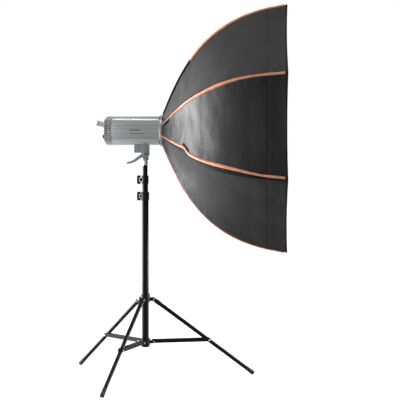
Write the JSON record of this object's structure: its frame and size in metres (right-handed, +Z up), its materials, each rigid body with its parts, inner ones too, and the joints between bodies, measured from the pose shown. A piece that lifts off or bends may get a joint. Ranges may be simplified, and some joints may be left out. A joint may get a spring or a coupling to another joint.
{
  "type": "studio softbox",
  "caption": "Octagonal studio softbox on a studio flash head, carried by a telescopic stand with a folding tripod base.",
  "frame": {"origin": "middle of the footprint, on the floor, under the softbox and stand", "axes": "+Z up, +X the way the softbox points, +Y to the left of someone looking along +X"},
  "size_m": [1.1284, 1.2048, 1.8684],
  "materials": {
    "black_tube": "gloss",
    "black_plastic": "satin",
    "rubber": "matte",
    "chrome": "polished",
    "steel": "satin",
    "cast_grey": "satin",
    "silver_housing": "satin",
    "cover_grey": "satin",
    "ring_grey": "satin",
    "glass": "gloss",
    "ceramic": "matte",
    "capacitor": "satin",
    "circuit": "satin",
    "black_nylon": "satin",
    "white_nylon": "matte"
  },
  "bodies": {
    "column": {"column_tube": "black_tube", "column_end_cap": "black_plastic", "brace_hub": "black_plastic", "lower_lock_collar": "black_plastic"},
    "sliding_hub": {"leg_hub": "black_plastic"},
    "leg_1_assembly": {"leg_1": "black_tube", "leg_pin_1": "steel", "foot_cap_1": "rubber"},
    "brace_1_assembly": {"brace_1": "black_tube", "brace_pin_1": "steel"},
    "leg_2_assembly": {"leg_2": "black_tube", "leg_pin_2": "steel", "foot_cap_2": "rubber"},
    "brace_2_assembly": {"brace_2": "black_tube", "brace_pin_2": "steel"},
    "leg_3_assembly": {"leg_3": "black_tube", "leg_pin_3": "steel", "foot_cap_3": "rubber"},
    "brace_3_assembly": {"brace_3": "black_tube", "brace_pin_3": "steel"},
    "hub_knob": {"hub_lock_knob": "black_plastic"},
    "lower_knob": {"lower_lock_knob": "black_plastic"},
    "middle_section": {"middle_tube": "black_tube", "upper_lock_collar": "black_plastic"},
    "upper_knob": {"upper_lock_knob": "black_plastic"},
    "top_section": {"top_tube": "black_tube", "mounting_stud": "chrome"},
    "socket": {"stand_socket": "cast_grey"},
    "socket_screw": {"socket_lock_screw": "black_plastic"},
    "flash_head": {"head_bracket": "cast_grey", "tilt_bolt": "steel", "body_shell": "silver_housing", "rear_cover": "cover_grey", "carry_handle": "cover_grey", "mains_inlet": "black_plastic", "front_ring": "ring_grey", "flash_tube": "glass", "modelling_lamp": "glass", "lamp_socket": "ceramic", "flash_capacitor": "capacitor", "circuit_board": "circuit"},
    "lever": {"tilt_lever": "cast_grey"},
    "dial": {"power_dial": "black_plastic"},
    "button": {"test_button": "black_plastic"},
    "rocker": {"power_switch": "black_plastic"},
    "fan": {"cooling_fan": "black_plastic"},
    "softbox": {"speed_ring": "ring_grey", "rod_1": "steel", "rod_2": "steel", "rod_3": "steel", "rod_4": "steel", "rod_5": "steel", "rod_6": "steel", "rod_7": "steel", "rod_8": "steel", "softbox_shell": "black_nylon", "inner_diffuser": "white_nylon", "front_diffuser": "white_nylon"}
  },
  "joints": [
    {"name": "tripod_fold", "type": "slide", "parent": "column", "child": "sliding_hub", "axis": [0, 0, 1], "range_m": [0, 0.43061]},
    {"name": "middle_slide", "type": "slide", "parent": "column", "child": "middle_section", "axis": [0, 0, 1], "range_m": [0, 0.65]},
    {"name": "top_slide", "type": "slide", "parent": "middle_section", "child": "top_section", "axis": [0, 0, 1], "range_m": [0, 0.74]},
    {"name": "head_pan", "type": "hinge", "parent": "top_section", "child": "socket", "pos_m": [-0.15475, 0, 1.12], "axis": [0, 0, 1], "continuous": true},
    {"name": "head_tilt", "type": "hinge", "parent": "socket", "child": "flash_head", "pos_m": [-0.15125, 0, 1.147], "axis": [0, 1, 0], "range_deg": [-60, 30]},
    {"name": "softbox_turn", "type": "hinge", "parent": "flash_head", "child": "softbox", "pos_m": [-0.05975, 0, 1.266], "axis": [1, 0, 0], "continuous": true},
    {"name": "leg_1_hinge", "type": "hinge", "parent": "sliding_hub", "child": "leg_1_assembly", "pos_m": [-0.11411, 0.01059, 0.405], "axis": [-0.2521, 0.9677, 0], "range_deg": [0, 48.86]},
    {"name": "brace_1_hinge", "type": "hinge", "parent": "column", "child": "brace_1_assembly", "pos_m": [-0.11411, 0.01059, 0.186], "axis": [0.2521, -0.9677, 0], "range_deg": [0, 84.99]},
    {"name": "leg_2_hinge", "type": "hinge", "parent": "sliding_hub", "child": "leg_2_assembly", "pos_m": [-0.18424, 0.02991, 0.405], "axis": [-0.712, -0.7022, 0], "range_deg": [0, 48.86]},
    {"name": "brace_2_hinge", "type": "hinge", "parent": "column", "child": "brace_2_assembly", "pos_m": [-0.18424, 0.02991, 0.186], "axis": [0.712, 0.7022, 0], "range_deg": [0, 84.99]},
    {"name": "leg_3_hinge", "type": "hinge", "parent": "sliding_hub", "child": "leg_3_assembly", "pos_m": [-0.16591, -0.04049, 0.405], "axis": [0.9641, -0.2656, 0], "range_deg": [0, 48.86]},
    {"name": "brace_3_hinge", "type": "hinge", "parent": "column", "child": "brace_3_assembly", "pos_m": [-0.16591, -0.04049, 0.186], "axis": [-0.9641, 0.2656, 0], "range_deg": [0, 84.99]},
    {"name": "hub_knob_turn", "type": "hinge", "parent": "sliding_hub", "child": "hub_knob", "pos_m": [-0.14413, 0.03856, 0.41], "axis": [0.2656, 0.9641, 0], "range_deg": [0, 360]},
    {"name": "lower_knob_turn", "type": "hinge", "parent": "column", "child": "lower_knob", "pos_m": [-0.18775, 0, 0.9325], "axis": [-1, 0, 0], "range_deg": [0, 360]},
    {"name": "upper_knob_turn", "type": "hinge", "parent": "middle_section", "child": "upper_knob", "pos_m": [-0.18775, 0, 1.0165], "axis": [-1, 0, 0], "range_deg": [0, 360]},
    {"name": "socket_screw_turn", "type": "hinge", "parent": "socket", "child": "socket_screw", "pos_m": [-0.15475, 0.03, 1.12165], "axis": [0, 1, 0], "range_deg": [0, 360]},
    {"name": "tilt_lever_turn", "type": "hinge", "parent": "flash_head", "child": "lever", "pos_m": [-0.15125, -0.025, 1.147], "axis": [0, 1, 0], "range_deg": [-60, 25]},
    {"name": "power_dial_turn", "type": "hinge", "parent": "flash_head", "child": "dial", "pos_m": [-0.36175, -0.03, 1.236], "axis": [-1, 0, 0], "range_deg": [-150, 150]},
    {"name": "power_switch_rock", "type": "hinge", "parent": "flash_head", "child": "rocker", "pos_m": [-0.35275, 0.033, 1.23], "axis": [0, 1, 0], "range_deg": [0, 12]},
    {"name": "test_button_press", "type": "slide", "parent": "flash_head", "child": "button", "axis": [1, 0, 0], "range_m": [0, 0.002], "stiffness_N_per_m": 300, "springref_m": -0.001},
    {"name": "fan_spin", "type": "hinge", "parent": "flash_head", "child": "fan", "pos_m": [-0.30675, 0, 1.266], "axis": [1, 0, 0], "continuous": true}
  ],
  "couplings": [
    {"joint": "leg_1_hinge", "follows": "tripod_fold", "rad_per_m": 1.9798},
    {"joint": "brace_1_hinge", "follows": "tripod_fold", "rad_per_m": 3.4443},
    {"joint": "leg_2_hinge", "follows": "tripod_fold", "rad_per_m": 1.9798},
    {"joint": "brace_2_hinge", "follows": "tripod_fold", "rad_per_m": 3.4443},
    {"joint": "leg_3_hinge", "follows": "tripod_fold", "rad_per_m": 1.9798},
    {"joint": "brace_3_hinge", "follows": "tripod_fold", "rad_per_m": 3.4443}
  ]
}
